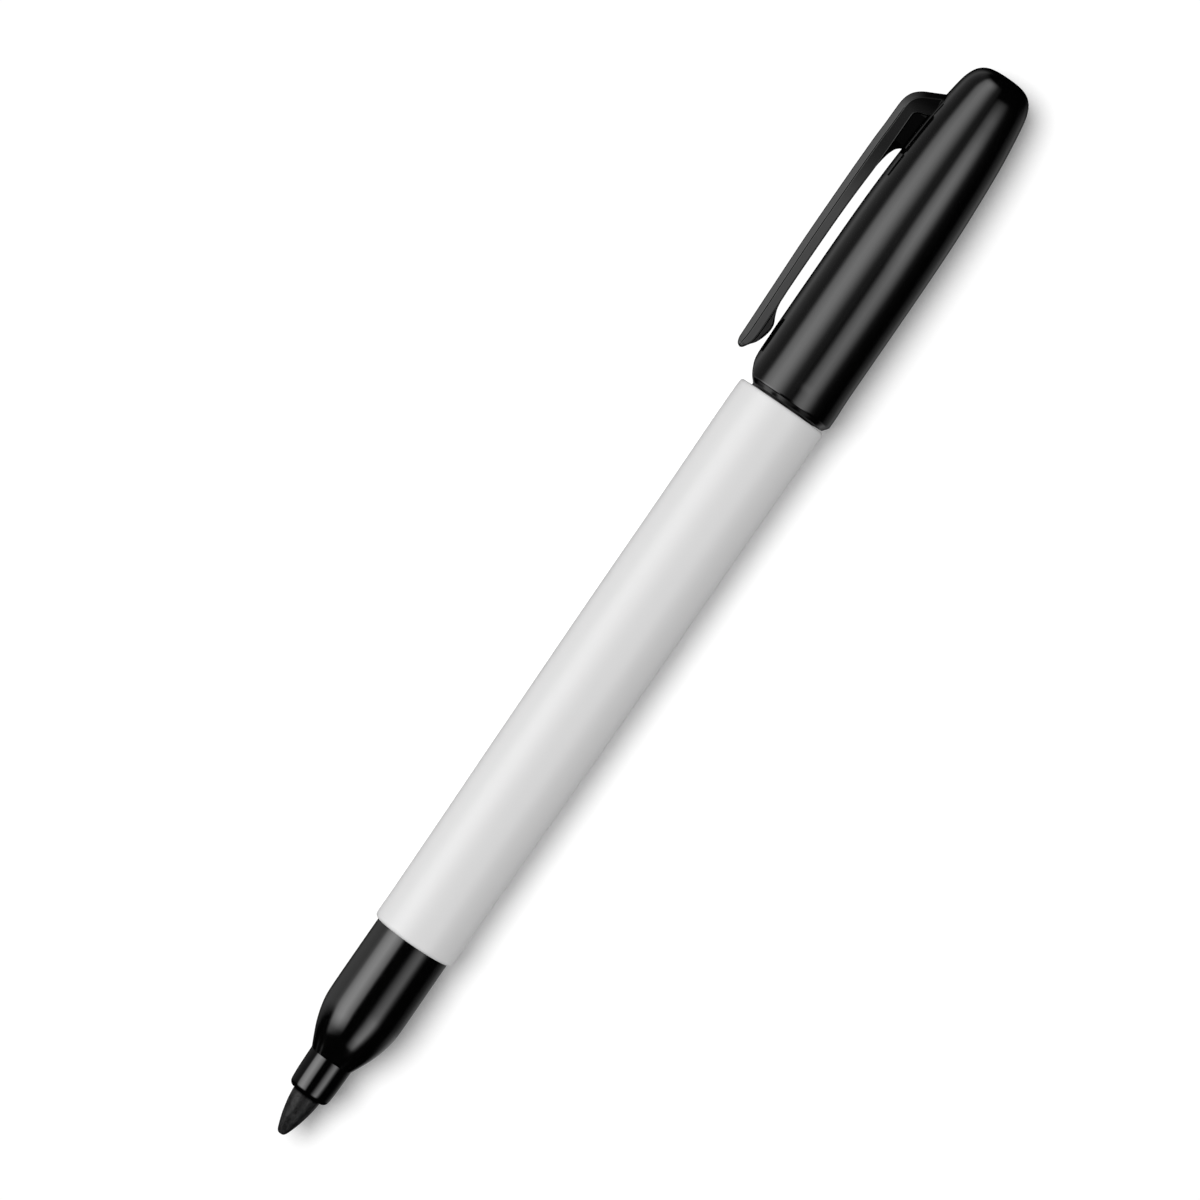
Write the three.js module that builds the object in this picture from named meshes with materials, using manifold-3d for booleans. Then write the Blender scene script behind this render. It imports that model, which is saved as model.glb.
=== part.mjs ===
// Permanent marker with a bullet nib, shown with its cap pushed on the back end.
// Millimetres. The pen lies along X with the nib towards -X, the cap's crown towards +X,
// the clip on the +Y side and +Z up. The origin is the bottom centre of the whole.
import * as THREE from 'three';
import { mergeVertices } from 'three/addons/utils/BufferGeometryUtils.js';
import Module from 'manifold-3d';

const wasm = await Module();
wasm.setup();

// ---- driving dimensions (stations are measured from the tip of the nib) ----
const LENGTH = 151.7; // nib tip to crown
const SEG = 48; // facets round the large turned pieces; as wide as this, the lowest ones keep the clip level
const SEG_SMALL = 40; // facets round the small inner pieces

const R_CAP_MAX = 6.11; // lip of the cap
const CLIP_OUT_Y = 9.14; // clip's outer face from the pen axis
const AXIS_Z = R_CAP_MAX * Math.cos(Math.PI / SEG); // the lip's lowest facet lies on z = 0
const AXIS_Y = -(CLIP_OUT_Y - R_CAP_MAX * Math.cos(Math.PI / SEG)) / 2;

const X_COLLAR = 5.68; // end face of the collar that grips the nib
const X_SHOULDER = 10.77;
const R_GRIP = 4.92;
const X_BARREL_FRONT = 27.69;
const X_BARREL_REAR = 104.67;
const R_BARREL_BORE = 4.75;

const X_MOUTH = 104.85; // cap's mouth, pushed home
const R_CAP_BORE = 5.08;
const X_STUD_END = 116.6; // tail stud that the posted cap sits on
const R_STUD = 4.9;

const X_LINER = 122.0; // inner seal cup
const R_LINER_IN = 2.92;
const R_LINER_OUT = 4.3;
const X_LINER_END = 136.2;
const LINER_FLOOR = 1.0;

const CLIP_W = 3.9; // clip strap across
const CLIP_WEB_W = 2.0; // web under the root and keel of the pad
const CLIP_CHAMFER = 0.84; // bevel along both outer edges of the strap
const ROOT_PAD_W = 4.16; // low raised pad on the cap under the clip's root
const ROOT_PAD_H = 0.14;
const X_FLEX = 137.35; // where the arm bends off its root
const Y_FLEX = 8.05;
const GAP = 0.3;

// Stations were read off a view taken from slightly beyond the crown; BOW puts back the shift of the middle (0.26 at most).
const BOW = 4.47e-5;
const X = (s) => s + BOW * s * (LENGTH - s) - LENGTH / 2;

// ---- helpers ----
// A turned solid about the pen axis from [station, radius] pairs that start and end on the axis, or close on themselves.
function turned(pairs, segments) {
  const pts = pairs.map(([s, r]) => new THREE.Vector2(r, X(s)));
  const half = Math.PI / segments;
  const g = new THREE.LatheGeometry(pts, segments, half, Math.PI * 2);
  g.rotateZ(-Math.PI / 2); // turning axis to +X
  g.translate(0, AXIS_Y, AXIS_Z);
  return g;
}

// A plate whose outline is drawn in the clip's plane, [station, distance from the axis], w wide across Z.
function plate(outline, w) {
  const shape = new THREE.Shape(
    outline.map(([s, y]) => new THREE.Vector2(X(s), y)),
  );
  const g = new THREE.ExtrudeGeometry(shape, {
    depth: w,
    bevelEnabled: false,
    steps: 1,
  });
  g.translate(0, AXIS_Y, AXIS_Z - w / 2);
  return g;
}

function solid(g) {
  const c = g.clone();
  c.deleteAttribute('normal');
  c.deleteAttribute('uv');
  const m = mergeVertices(c, 1e-4);
  let s = new wasm.Manifold(
    new wasm.Mesh({
      numProp: 3,
      vertProperties: new Float32Array(m.attributes.position.array),
      triVerts: new Uint32Array(m.index.array),
    }),
  );
  return s;
}

function geometry(s) {
  const m = s.getMesh();
  const n = m.numProp;
  const v = new Float32Array(m.numVert * 3);
  for (let i = 0; i < m.numVert; i++)
    v.set(m.vertProperties.subarray(i * n, i * n + 3), i * 3);
  return new THREE.BufferGeometry()
    .setAttribute('position', new THREE.BufferAttribute(v, 3))
    .setIndex(new THREE.BufferAttribute(new Uint32Array(m.triVerts), 1));
}

const group = new THREE.Group();
function add(name, g, color, rough) {
  g.computeVertexNormals();
  const mesh = new THREE.Mesh(
    g,
    new THREE.MeshStandardMaterial({ color, roughness: rough }),
  );
  mesh.name = name;
  group.add(mesh);
}

// ---- barrel: white tube, open at both ends, a little thicker towards the back ----
const BARREL = [
  [X_BARREL_FRONT, R_BARREL_BORE + 0.2],
  [X_BARREL_FRONT, 5.14],
  [X_BARREL_FRONT + 0.1, 5.32],
  [X_BARREL_FRONT + 0.28, 5.45],
  [X_BARREL_FRONT + 0.55, 5.49],
  [31.8, 5.5],
  [41.7, 5.57],
  [50.0, 5.66],
  [60.0, 5.74],
  [70.0, 5.81],
  [87.0, 5.84],
  [X_BARREL_REAR - 0.4, 5.86],
  [X_BARREL_REAR - 0.12, 5.8],
  [X_BARREL_REAR, 5.64],
  [X_BARREL_REAR, R_BARREL_BORE + 0.1],
  [X_BARREL_REAR - 0.3, R_BARREL_BORE],
  [X_BARREL_FRONT + 12.0, R_BARREL_BORE],
  [X_BARREL_FRONT + 11.6, R_BARREL_BORE + 0.2],
];
add('barrel', turned([...BARREL, BARREL[0]], SEG), 0xf0f0ee, 0.35);

// ---- front section: grip, shoulder and nib collar in one, hollow for the nib, with a tail pressed in the barrel ----
const R_NIB_BORE = 1.93;
const FRONT = [
  [X_COLLAR, R_NIB_BORE + 0.08],
  [X_COLLAR, 2.26],
  [X_COLLAR + 0.18, 2.46],
  [X_COLLAR + 0.42, 2.58],
  [X_COLLAR + 1.6, 2.7],
  [8.9, 2.75],
  [X_SHOULDER - 0.12, 2.78],
  [X_SHOULDER, 2.84],
  [11.3, 3.1],
  [11.89, 3.38],
  [12.6, 3.7],
  [13.31, 4.0],
  [14.02, 4.25],
  [14.73, 4.47],
  [15.44, 4.65],
  [16.15, 4.79],
  [16.86, 4.88],
  [17.7, R_GRIP],
  [X_BARREL_FRONT + 0.6, R_GRIP],
  [X_BARREL_FRONT + 1.0, 4.86],
  [X_BARREL_FRONT + 11.0, 4.86],
  [X_BARREL_FRONT + 11.4, 4.66],
  [X_BARREL_FRONT + 13.2, 4.66],
  [X_BARREL_FRONT + 13.2, 3.7],
  [X_BARREL_FRONT + 2.0, 3.6],
  [19.5, 3.5],
  [18.2, R_NIB_BORE],
];
add('front_section', turned([...FRONT, FRONT[0]], SEG), 0x0d0d0e, 0.3);

// ---- nib: pressed fibre rod with a bullet end, its back end pushed in the ink reservoir ----
const NIB = [
  [0.0, 0.0],
  [0.01, 0.2],
  [0.09, 0.42],
  [0.3, 0.6],
  [0.6, 0.74],
  [1.1, 0.93],
  [1.7, 1.13],
  [2.5, 1.36],
  [3.37, 1.56],
  [4.3, 1.73],
  [5.2, 1.83],
  [6.0, 1.87],
  [29.6, 1.87],
  [31.2, 1.3],
  [32.4, 0.6],
  [32.6, 0.0],
];
add('nib', turned(NIB, SEG_SMALL), 0x1b1b1c, 0.95);

// ---- ink reservoir: fibre core in a film sleeve, between the front section and the tail plug ----
const X_RES_FRONT = X_BARREL_FRONT + 0.6;
const X_RES_REAR = 91.0;
const R_CORE = 3.3;
const CORE = [
  [X_RES_FRONT, 0.0],
  [X_RES_FRONT, R_CORE],
  [X_RES_REAR, R_CORE],
  [X_RES_REAR, 0.0],
];
// the nib's back end has pressed its own hole in the wadding
const nibHole = turned(
  [
    [X_RES_FRONT - 1, 0.0],
    [X_RES_FRONT - 1, 1.88],
    [29.7, 1.88],
    [31.3, 1.36],
    [32.5, 0.66],
    [32.75, 0.0],
  ],
  SEG_SMALL,
);
add(
  'reservoir_core',
  geometry(solid(turned(CORE, SEG_SMALL)).subtract(solid(nibHole))),
  0x26262b,
  0.95,
);
const SLEEVE = [
  [X_RES_FRONT, R_CORE + 0.03],
  [X_RES_FRONT, R_CORE + 0.15],
  [X_RES_REAR, R_CORE + 0.15],
  [X_RES_REAR, R_CORE + 0.03],
];
add(
  'reservoir_sleeve',
  turned([...SLEEVE, SLEEVE[0]], SEG_SMALL),
  0xdfe3e6,
  0.2,
);

// ---- tail plug: closes the barrel's back end; its stud carries the posted cap; cored from the inside ----
const PLUG = [
  [94.6, 3.5],
  [94.6, 4.5],
  [95.0, 4.7],
  [X_BARREL_REAR - 0.1, 4.7],
  [X_BARREL_REAR + 0.05, 4.4],
  [X_BARREL_REAR + 0.5, 4.4],
  [X_BARREL_REAR + 1.25, R_STUD],
  [X_STUD_END - 0.9, R_STUD],
  [X_STUD_END - 0.3, R_STUD - 0.18],
  [X_STUD_END, R_STUD - 0.6],
  [X_STUD_END, 0.0],
  [X_STUD_END - 1.2, 0.0],
  [X_STUD_END - 1.2, 3.1],
  [X_STUD_END - 1.6, 3.4],
];
// the core is a straight tapered hole, open towards the reservoir, so the outline runs out to the front rim again
add('tail_plug', turned(closeCup(PLUG), SEG), 0x0d0d0e, 0.35);

function closeCup(p) {
  // from the axis at the inner floor, out along the core to the front rim, back along the outside to the axis at the end face
  const inner = [
    [X_STUD_END - 1.2, 0.0],
    [X_STUD_END - 1.2, 3.1],
    [X_STUD_END - 1.6, 3.4],
    [94.6, 3.5],
  ];
  const outer = p.slice(1, 11);
  return [...inner, ...outer];
}

// ---- cap shell with the root of its clip ----
const CAP_OUT = [
  [X_MOUTH, R_CAP_BORE + 0.2],
  [X_MOUTH, 5.46],
  [X_MOUTH + 0.22, 5.76],
  [X_MOUTH + 0.52, 6.0],
  [X_MOUTH + 0.85, R_CAP_MAX],
  [X_MOUTH + 2.3, R_CAP_MAX],
  [X_MOUTH + 3.6, 6.06],
  [X_MOUTH + 5.4, 6.02],
  [120.0, 6.02],
  [126.5, 6.0],
  [131.2, 5.93],
  [134.0, 5.84],
  [136.9, 5.7],
  [139.7, 5.54],
  [142.5, 5.33],
  [144.0, 5.18],
  [145.4, 5.01],
  [146.8, 4.83],
  [148.2, 4.61],
  [149.0, 4.45],
  [149.65, 4.24],
  [150.15, 4.02],
  [150.6, 3.75],
  [151.05, 3.33],
  [151.4, 2.78],
  [151.6, 2.4],
  [LENGTH, 2.2],
  [LENGTH, 0.0],
];
const CAP_IN = [
  [150.2, 0.0],
  [150.2, 2.2],
  [149.6, 3.1],
  [148.0, 3.62],
  [142.0, 4.1],
  [137.0, R_LINER_OUT + 0.05],
  [121.9, R_LINER_OUT + 0.05],
  [121.2, R_CAP_BORE],
  [X_MOUTH + 0.25, R_CAP_BORE],
];
let cap = solid(turned([...CAP_IN, ...CAP_OUT], SEG));

// the mouth is scooped away a little on the clip's side; the curve is the outline seen from above
const SCOOP = [
  [X_MOUTH - 0.6, 3.9],
  [X_MOUTH, 4.28],
  [105.2, 4.56],
  [105.6, 4.93],
  [106.1, 5.27],
  [106.55, 5.5],
  [107.0, 5.7],
  [107.5, 5.85],
  [108.2, 5.95],
  [109.2, 6.0],
  [111.0, 6.04],
  [111.0, 7.0],
  [X_MOUTH - 0.6, 7.0],
];
cap = cap.subtract(solid(plate(SCOOP, 16)));

// clip root: strap and crown-side wall, cored on both sides down to a web
const ROOT_OUTLINE = [
  [X_FLEX + GAP / 2, 9.06],
  [139.2, 8.99],
  [140.7, 8.96],
  [142.1, 8.92],
  [142.7, 8.85],
  [143.3, 8.68],
  [143.8, 8.42],
  [144.2, 8.1],
  [144.6, 7.64],
  [144.95, 7.1],
  [146.15, 4.72],
  [146.0, 4.3],
  [138.2, 4.9],
  [137.9, 5.4],
  [137.72, 5.8],
  [X_FLEX + GAP / 2, 6.2],
];
let root = solid(plate(ROOT_OUTLINE, CLIP_W));
const POCKET = [
  [X_FLEX - 1, 3.0],
  [X_FLEX - 1, 6.92],
  [141.7, 6.9],
  [142.15, 6.7],
  [142.35, 6.3],
  [142.95, 3.0],
];
const pocketDepth = (CLIP_W - CLIP_WEB_W) / 2;
for (const side of [1, -1]) {
  const pocket = plate(POCKET, pocketDepth + 1);
  pocket.translate(0, 0, side * (CLIP_W / 2 - pocketDepth / 2 + 0.5));
  root = root.subtract(solid(pocket));
}
root = bevelled(root);
// what lies inside the cap's wall is trimmed so that the bore and the liner's seat stay clear
root = root.subtract(
  solid(
    turned(
      [
        [130.0, 0.0],
        [130.0, 5.0],
        [140.0, 4.9],
        [148.0, 4.2],
        [148.0, 0.0],
      ],
      SEG,
    ),
  ),
);
cap = cap.add(root);

// the raised pad follows the cap's surface
const PAD_FROM = 137.85;
const PAD_TO = 145.3;
const under = CAP_OUT.filter(([s]) => s > PAD_FROM && s < PAD_TO);
const rAt = (s) => {
  const i = CAP_OUT.findIndex(([a]) => a >= s);
  const [a, ra] = CAP_OUT[i - 1];
  const [b, rb] = CAP_OUT[i];
  return ra + ((rb - ra) * (s - a)) / (b - a);
};
const padRing = turned(
  [
    [PAD_FROM, 4.7],
    [PAD_FROM, rAt(PAD_FROM) + ROOT_PAD_H],
    ...under.map(([s, r]) => [s, r + ROOT_PAD_H]),
    [PAD_TO, rAt(PAD_TO) + ROOT_PAD_H],
    [PAD_TO, 4.7],
    [PAD_FROM, 4.7],
  ],
  SEG,
);
const padSector = plate(
  [
    [PAD_FROM - 1, 3.0],
    [PAD_TO + 1, 3.0],
    [PAD_TO + 1, 8.0],
    [PAD_FROM - 1, 8.0],
  ],
  ROOT_PAD_W,
);
cap = cap.add(solid(padRing).intersect(solid(padSector)));
add('cap_shell', geometry(cap), 0x0d0d0e, 0.25);

// Both outer edges of a clip piece are bevelled along its length.
function bevelled(s) {
  const far = 200;
  for (const side of [1, -1]) {
    const yOut = CLIP_OUT_Y + AXIS_Y;
    const zEdge = AXIS_Z + (side * CLIP_W) / 2;
    const c = CLIP_CHAMFER;
    // triangle in the Y-Z plane swept along X
    const shape = new THREE.Shape([
      new THREE.Vector2(-side * 0.58, 0.4),
      new THREE.Vector2(side * 0.7, 0.4),
      new THREE.Vector2(side * 0.7, -c - 0.55),
      new THREE.Vector2(side * 0.05, -c),
    ]);
    const g = new THREE.ExtrudeGeometry(shape, {
      depth: far,
      bevelEnabled: false,
      steps: 1,
    });
    // shape x -> world z, shape y -> world y, depth -> world x
    const basis = new THREE.Matrix4().makeBasis(
      new THREE.Vector3(0, 0, 1),
      new THREE.Vector3(0, 1, 0),
      new THREE.Vector3(-1, 0, 0),
    );
    g.applyMatrix4(basis);
    g.translate(far / 2, yOut, zEdge);
    s = s.subtract(solid(g));
  }
  return s;
}

// ---- clip arm: the springy strap with the pad that presses on the cap ----
const ARM_OUTLINE = [
  [X_FLEX - GAP / 2, 9.07],
  [134.0, 9.12],
  [131.0, CLIP_OUT_Y],
  [122.7, CLIP_OUT_Y],
  [119.8, 9.08],
  [117.0, 9.02],
  [114.1, 8.96],
  [111.3, 8.9],
  [109.2, 8.86],
  [108.5, 8.83],
  [108.0, 8.68],
  [107.72, 8.44],
  [107.62, 8.14],
  [107.74, 7.88],
  [108.0, 7.68],
  [108.6, 7.33],
  [109.4, 7.14],
  [114.1, 7.12],
  [117.0, 7.19],
  [126.9, 7.19],
  [131.2, 7.08],
  [134.0, 6.96],
  [X_FLEX - GAP / 2, 6.92],
];
const PAD_OUTLINE = [
  [108.3, 7.7],
  [108.6, 7.28],
  [109.1, 6.87],
  [109.8, 6.54],
  [110.7, 6.28],
  [111.3, 6.19],
  [111.9, 6.22],
  [112.4, 6.4],
  [112.9, 6.66],
  [113.8, 6.99],
  [114.6, 7.12],
  [115.2, 7.7],
];
const ARM_WEB_OUTLINE = [
  [133.0, 7.3],
  [133.4, 7.02],
  [134.4, 6.94],
  [135.4, 6.8],
  [136.3, 6.62],
  [136.9, 6.42],
  [X_FLEX - GAP / 2, 6.22],
  [X_FLEX - GAP / 2, 7.3],
];
let arm = bevelled(solid(plate(ARM_OUTLINE, CLIP_W)));
arm = arm
  .add(solid(plate(PAD_OUTLINE, CLIP_WEB_W + 0.2)))
  .add(solid(plate(ARM_WEB_OUTLINE, CLIP_WEB_W)));
add('clip_arm', geometry(arm), 0x0d0d0e, 0.25);

// ---- inner seal cup: closes round the nib collar when the cap is on the front end ----
const LINER = [
  [X_LINER_END - LINER_FLOOR, 0.0],
  [X_LINER_END - LINER_FLOOR, R_LINER_IN],
  [X_LINER + 0.5, R_LINER_IN],
  [X_LINER, R_LINER_IN + 0.35],
  [X_LINER, R_LINER_OUT - 0.3],
  [X_LINER + 0.4, R_LINER_OUT],
  [X_LINER_END - 0.4, R_LINER_OUT],
  [X_LINER_END, R_LINER_OUT - 0.4],
  [X_LINER_END, 0.0],
];
add('seal_liner', turned(LINER, SEG_SMALL), 0xd9dadb, 0.5);

export default group;
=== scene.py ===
import math

import bmesh
import bpy
import numpy as np
from mathutils import Matrix, Vector

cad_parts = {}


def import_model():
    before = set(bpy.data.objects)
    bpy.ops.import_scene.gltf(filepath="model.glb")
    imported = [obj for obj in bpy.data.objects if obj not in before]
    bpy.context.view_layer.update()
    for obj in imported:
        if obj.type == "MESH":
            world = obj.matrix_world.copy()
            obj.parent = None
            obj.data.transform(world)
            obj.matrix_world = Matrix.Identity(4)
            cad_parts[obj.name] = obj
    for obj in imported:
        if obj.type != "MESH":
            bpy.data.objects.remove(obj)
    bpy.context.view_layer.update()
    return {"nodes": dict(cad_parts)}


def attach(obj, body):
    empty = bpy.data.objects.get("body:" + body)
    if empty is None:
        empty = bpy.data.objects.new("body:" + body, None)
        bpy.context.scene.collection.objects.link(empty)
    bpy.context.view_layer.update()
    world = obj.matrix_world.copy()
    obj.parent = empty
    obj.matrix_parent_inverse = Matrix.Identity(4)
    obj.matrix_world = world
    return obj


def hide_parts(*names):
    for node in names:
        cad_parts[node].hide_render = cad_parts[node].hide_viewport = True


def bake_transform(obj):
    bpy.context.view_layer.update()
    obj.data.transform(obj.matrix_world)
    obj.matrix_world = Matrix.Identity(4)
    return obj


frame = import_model()

# ---------------------------------------------------------------- frame values, in millimetres
LENGTH = 151.7
AXIS_Y = -1.521541
AXIS_Z = 6.096918
FACET = math.cos(math.pi / 48) - 1e-5  # the CAD rings' flats touch the floor, so the round visual uses their inner radius


BOW = 4.47e-5  # the photograph's perspective moved the stations between the two ends by up to 0.26


def X(s):
    return s + BOW * s * (LENGTH - s) - LENGTH / 2


def row(s, y, z):
    """Station along the pen from the nib's tip, and y and z from the pen's axis, to metres in the row frame."""
    return Vector((X(float(s)) / 1000, (AXIS_Y + y) / 1000, (AXIS_Z + z) / 1000))


# ---------------------------------------------------------------- curves
def catmull(pts, spacing):
    """Smooth curve through the points, about one sample per spacing, ends included."""
    if len(pts) < 3:
        a, b = np.array(pts[0]), np.array(pts[1])
        n = max(1, int(math.ceil(np.linalg.norm(b - a) / spacing)))
        return [tuple(a + (b - a) * i / n) for i in range(n + 1)]
    p = [np.array(q, float) for q in pts]
    p = [2 * p[0] - p[1], *p, 2 * p[-1] - p[-2]]
    out = []
    for i in range(1, len(p) - 2):
        p0, p1, p2, p3 = p[i - 1], p[i], p[i + 1], p[i + 2]
        t0 = 0.0
        t1 = t0 + math.sqrt(np.linalg.norm(p1 - p0))
        t2 = t1 + math.sqrt(np.linalg.norm(p2 - p1))
        t3 = t2 + math.sqrt(np.linalg.norm(p3 - p2))
        n = max(1, int(math.ceil(np.linalg.norm(p2 - p1) / spacing)))
        for k in range(n):
            t = t1 + (t2 - t1) * k / n
            a1 = (t1 - t) / (t1 - t0) * p0 + (t - t0) / (t1 - t0) * p1
            a2 = (t2 - t) / (t2 - t1) * p1 + (t - t1) / (t2 - t1) * p2
            a3 = (t3 - t) / (t3 - t2) * p2 + (t - t2) / (t3 - t2) * p3
            b1 = (t2 - t) / (t2 - t0) * a1 + (t - t0) / (t2 - t0) * a2
            b2 = (t3 - t) / (t3 - t1) * a2 + (t - t1) / (t3 - t1) * a3
            out.append(tuple((t2 - t) / (t2 - t1) * b1 + (t - t1) / (t2 - t1) * b2))
    out.append(tuple(p[-2]))
    return out


def rounded(poly, fillets, closed=False, arc=4):
    """Rounds the corners of a polyline: fillets is {index: radius}."""
    out = []
    n = len(poly)
    for i, q in enumerate(poly):
        f = fillets.get(i, 0)
        if f <= 0 or (not closed and i in (0, n - 1)):
            out.append(tuple(q))
            continue
        p = np.array(q, float)
        a = np.array(poly[i - 1], float) - p
        b = np.array(poly[(i + 1) % n], float) - p
        la, lb = np.linalg.norm(a), np.linalg.norm(b)
        a, b = a / la, b / lb
        turn = math.pi - math.acos(max(-1, min(1, float(a @ b))))
        if turn < 1e-3:
            out.append(tuple(q))
            continue
        d = min(f * math.tan(turn / 2), 0.45 * la, 0.45 * lb)
        s, e = p + a * d, p + b * d
        for k in range(arc + 1):  # a quadratic through the corner is close to the arc
            t = k / arc
            out.append(tuple((1 - t) ** 2 * s + 2 * t * (1 - t) * p + t * t * e))
    return out


def profile(pts, spacing=0.4, closed=False):
    """Dense outline from (station, radius) points; a third value marks a corner and its rounding."""
    corners = [i for i, q in enumerate(pts) if len(q) > 2]
    if closed:
        pts = pts[corners[0]:] + pts[: corners[0]]
        pts = [*pts, pts[0]]
        corners = [i for i, q in enumerate(pts) if len(q) > 2]
    else:
        corners = sorted({0, len(pts) - 1, *corners})
    poly, marks = [], {}
    for a, b in zip(corners[:-1], corners[1:]):
        run = catmull([q[:2] for q in pts[a : b + 1]], spacing)
        if len(pts[a]) > 2:
            marks[len(poly)] = pts[a][2]
        poly += run[:-1]
    if not closed:
        poly.append(pts[-1][:2])
    return rounded(poly, marks, closed)


# ---------------------------------------------------------------- meshes
def mesh_object(name, verts, faces, weighted=True, slots=None):
    me = bpy.data.meshes.new(name)
    bm = bmesh.new()
    vs = [bm.verts.new(v) for v in verts]
    for number, f in enumerate(faces):
        keep = []
        for i in f:
            if i not in keep:
                keep.append(i)
        if len(keep) > 2:
            try:
                made = bm.faces.new([vs[i] for i in keep])
                made.material_index = slots[number] if slots else 0
            except ValueError:
                pass
    bmesh.ops.remove_doubles(bm, verts=bm.verts, dist=2e-7)
    bmesh.ops.dissolve_degenerate(bm, edges=bm.edges, dist=1e-7)
    bmesh.ops.recalc_face_normals(bm, faces=bm.faces)
    for f in bm.faces:
        f.smooth = True
    bm.to_mesh(me)
    bm.free()
    o = bpy.data.objects.new(name, me)
    bpy.context.scene.collection.objects.link(o)
    if weighted:
        m = o.modifiers.new("normals", "WEIGHTED_NORMAL")
        m.weight = 60
        m.keep_sharp = False
    return o


def lathe(name, outline, segments, closed, shape=None):
    """Turned piece about the pen's axis. shape(s, r, phi) may move a point."""
    verts, rings = [], []
    for s, r in outline:
        if r < 1e-6:
            rings.append([len(verts)])
            verts.append(row(s, 0, 0))
            continue
        ring = []
        for k in range(segments):
            phi = 2 * math.pi * k / segments
            ss, rr = (s, r) if shape is None else shape(s, r, phi)
            ring.append(len(verts))
            verts.append(row(ss, rr * FACET * math.cos(phi), rr * FACET * math.sin(phi)))
        rings.append(ring)
    faces = []
    pairs = list(zip(rings[:-1], rings[1:]))
    if closed:
        pairs.append((rings[-1], rings[0]))
    for a, b in pairs:
        for k in range(segments):
            j = (k + 1) % segments
            if len(a) == 1 and len(b) == 1:
                continue
            if len(a) == 1:
                faces.append((a[0], b[j], b[k]))
            elif len(b) == 1:
                faces.append((a[k], a[j], b[0]))
            else:
                faces.append((a[k], a[j], b[j], b[k]))
    return mesh_object(name, verts, faces)


def hash01(*v):
    x = math.sin(sum(a * b for a, b in zip(v, (12.9898, 78.233, 37.719)))) * 43758.5453
    return x - math.floor(x)


# barrel: white tube, both rims rounded, bore open
BARREL = [
    (27.69, 4.95, 0.08), (27.69, 5.14), (27.79, 5.32), (27.97, 5.45), (28.24, 5.49),
    (31.8, 5.5), (41.7, 5.57), (50.0, 5.66), (60.0, 5.74), (70.0, 5.81), (87.0, 5.84),
    (104.27, 5.86), (104.55, 5.8), (104.67, 5.64), (104.67, 4.85, 0.05), (104.37, 4.75, 0.1),
    (39.69, 4.75, 0.1), (39.29, 4.95, 0.1),
]
barrel = lathe("barrel_tube", profile(BARREL, 0.6, True), 192, True)

# grip, shoulder and nib collar in one moulding
FRONT = [
    (5.68, 2.01, 0.04), (5.68, 2.3, 0.05), (5.86, 2.5), (6.1, 2.62), (7.28, 2.74), (8.9, 2.79),
    (10.65, 2.82, 0.12), (10.77, 2.88), (11.3, 3.13), (11.89, 3.41), (12.6, 3.73), (13.31, 4.03),
    (14.02, 4.28), (14.73, 4.5), (15.44, 4.68), (16.15, 4.82), (16.86, 4.91), (17.7, 4.95),
    (28.29, 4.95, 0.2), (28.69, 4.86, 0.2), (38.69, 4.86, 0.2), (39.09, 4.66, 0.1), (40.89, 4.66, 0.1),
    (40.89, 3.7, 0.1), (29.69, 3.6, 0.1), (19.5, 3.5, 0.3), (18.2, 1.93, 0.1), (5.8, 1.93, 0.05),
]
grip = lathe("grip_section", profile(FRONT, 0.25, True), 192, True)

# nib: pressed fibre rod; fine lengthwise fibres and a worn point, cut into the mesh
NIB = [
    (0.0, 0.0), (0.01, 0.2), (0.09, 0.42), (0.3, 0.6), (0.6, 0.74), (1.1, 0.93), (1.7, 1.13),
    (2.5, 1.36), (3.37, 1.56), (4.3, 1.73), (5.2, 1.83), (6.0, 1.87), (29.6, 1.87, 0.2),
    (31.2, 1.3), (32.4, 0.6), (32.6, 0.0),
]


def fibres(s, r, phi):
    k = phi * 180 / math.pi
    coarse = math.sin(k * 0.19 + 2.1 * math.sin(s * 0.9)) * math.sin(s * 1.7 + 1.3 * math.sin(phi * 3))
    fine = hash01(round(k / 3.0), round(s / 0.55), 3.1)
    tiny = hash01(round(k / 3.0), round(s / 0.12), 9.7)
    depth = 0.012 * (0.5 + 0.5 * coarse) + 0.016 * fine + 0.01 * tiny
    return s, r - min(depth, 0.25 * r)


nib_line = [q for q in profile(NIB, 0.12) if q[0] < 6.2] + [q for q in profile(NIB, 1.5) if q[0] >= 6.2]
nib = lathe("nib_rod", nib_line, 120, False, fibres)

# tail plug with its stud, cored from the front
PLUG = [
    (115.4, 0.0), (115.4, 3.1, 0.2), (115.0, 3.4, 0.2), (94.6, 3.5, 0.1), (94.6, 4.5, 0.1), (95.0, 4.7, 0.1),
    (104.57, 4.7, 0.05), (104.72, 4.4, 0.05), (105.17, 4.4, 0.1), (105.92, 4.9, 0.1), (115.7, 4.9, 0.2),
    (116.3, 4.72), (116.6, 4.3, 0.1), (116.6, 0.0),
]
stud = lathe("tail_stud", profile(PLUG, 0.8), 128, False)

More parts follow.
